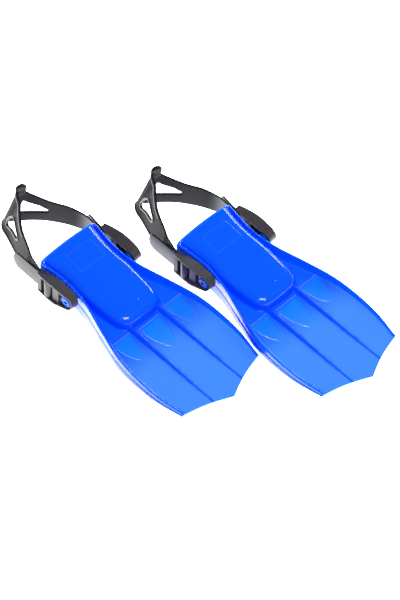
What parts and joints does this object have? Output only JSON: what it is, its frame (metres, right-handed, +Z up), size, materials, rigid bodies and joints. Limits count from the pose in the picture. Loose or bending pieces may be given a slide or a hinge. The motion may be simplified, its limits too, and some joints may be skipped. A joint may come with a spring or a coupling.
{
  "type": "pair of swim fins",
  "caption": "Pair of short open-heel swim fins with a ribbed, vented blade, side rails, a foot pocket and buckled rubber heel straps.",
  "frame": {"origin": "on the floor, in the middle of the box around the pair", "axes": "+X towards the blade tips, +Y to the wearer's left, +Z up"},
  "size_m": [0.4934, 0.2834, 0.082],
  "materials": {
    "blade_panel": "satin",
    "pocket": "satin",
    "rail": "satin",
    "rib": "satin",
    "footbed": "matte",
    "stud": "satin",
    "buckle": "matte",
    "strap": "satin"
  },
  "bodies": {
    "right_fin": {"right_blade": "blade_panel", "right_footbed": "footbed", "right_foot_pocket": "pocket", "right_pocket_rim": "pocket", "right_outer_rail": "rail", "right_inner_rail": "rail", "right_outer_rib": "rib", "right_inner_rib": "rib", "right_outer_stud": "stud", "right_inner_stud": "stud"},
    "right_outer_buckle": {"right_outer_buckle": "buckle", "right_outer_strap_loop": "strap"},
    "right_outer_tail": {"right_outer_strap_tail": "strap"},
    "right_inner_buckle": {"right_inner_buckle": "buckle", "right_inner_strap_loop": "strap"},
    "right_inner_tail": {"right_inner_strap_tail": "strap"},
    "right_strap": {"right_heel_strap": "strap"},
    "left_fin": {"left_blade": "blade_panel", "left_footbed": "footbed", "left_foot_pocket": "pocket", "left_pocket_rim": "pocket", "left_outer_rail": "rail", "left_inner_rail": "rail", "left_outer_rib": "rib", "left_inner_rib": "rib", "left_outer_stud": "stud", "left_inner_stud": "stud"},
    "left_outer_buckle": {"left_outer_buckle": "buckle", "left_outer_strap_loop": "strap"},
    "left_outer_tail": {"left_outer_strap_tail": "strap"},
    "left_inner_buckle": {"left_inner_buckle": "buckle", "left_inner_strap_loop": "strap"},
    "left_inner_tail": {"left_inner_strap_tail": "strap"},
    "left_strap": {"left_heel_strap": "strap"}
  },
  "joints": [
    {"name": "right_outer_buckle_turn", "type": "hinge", "parent": "right_fin", "child": "right_outer_buckle", "pos_m": [-0.0816, -0.1281, 0.027], "axis": [0, 1, 0], "range_deg": [-8, 140]},
    {"name": "right_inner_buckle_turn", "type": "hinge", "parent": "right_fin", "child": "right_inner_buckle", "pos_m": [-0.0816, -0.0111, 0.027], "axis": [0, 1, 0], "range_deg": [-8, 140]},
    {"name": "right_strap_adjust", "type": "slide", "parent": "right_outer_buckle", "child": "right_strap", "axis": [0.9959, 0, 0.0906], "range_m": [-0.025, 0.003], "deforming": ["right_outer_strap_loop", "right_inner_strap_loop"]},
    {"name": "right_outer_tail_adjust", "type": "slide", "parent": "right_outer_buckle", "child": "right_outer_tail", "axis": [0.9959, 0, 0.0906], "range_m": [-0.003, 0.025]},
    {"name": "right_inner_tail_adjust", "type": "slide", "parent": "right_inner_buckle", "child": "right_inner_tail", "axis": [0.9959, 0, 0.0906], "range_m": [-0.003, 0.025]},
    {"name": "left_fin_lift", "type": "slide", "parent": "right_fin", "child": "left_fin", "axis": [0, 0, 1], "range_m": [0, 0.25]},
    {"name": "left_outer_buckle_turn", "type": "hinge", "parent": "left_fin", "child": "left_outer_buckle", "pos_m": [0.0152, 0.1281, 0.027], "axis": [0, 1, 0], "range_deg": [-8, 140]},
    {"name": "left_inner_buckle_turn", "type": "hinge", "parent": "left_fin", "child": "left_inner_buckle", "pos_m": [0.0152, 0.0111, 0.027], "axis": [0, 1, 0], "range_deg": [-8, 140]},
    {"name": "left_strap_adjust", "type": "slide", "parent": "left_outer_buckle", "child": "left_strap", "axis": [0.9959, 0, 0.0906], "range_m": [-0.025, 0.003], "deforming": ["left_outer_strap_loop", "left_inner_strap_loop"]},
    {"name": "left_outer_tail_adjust", "type": "slide", "parent": "left_outer_buckle", "child": "left_outer_tail", "axis": [0.9959, 0, 0.0906], "range_m": [-0.003, 0.025]},
    {"name": "left_inner_tail_adjust", "type": "slide", "parent": "left_inner_buckle", "child": "left_inner_tail", "axis": [0.9959, 0, 0.0906], "range_m": [-0.003, 0.025]}
  ],
  "couplings": [
    {"joint": "right_outer_tail_adjust", "follows": "right_strap_adjust", "ratio": -1},
    {"joint": "right_inner_tail_adjust", "follows": "right_strap_adjust", "ratio": -1},
    {"joint": "right_inner_buckle_turn", "follows": "right_outer_buckle_turn", "ratio": 1},
    {"joint": "left_outer_tail_adjust", "follows": "left_strap_adjust", "ratio": -1},
    {"joint": "left_inner_tail_adjust", "follows": "left_strap_adjust", "ratio": -1},
    {"joint": "left_inner_buckle_turn", "follows": "left_outer_buckle_turn", "ratio": 1}
  ]
}
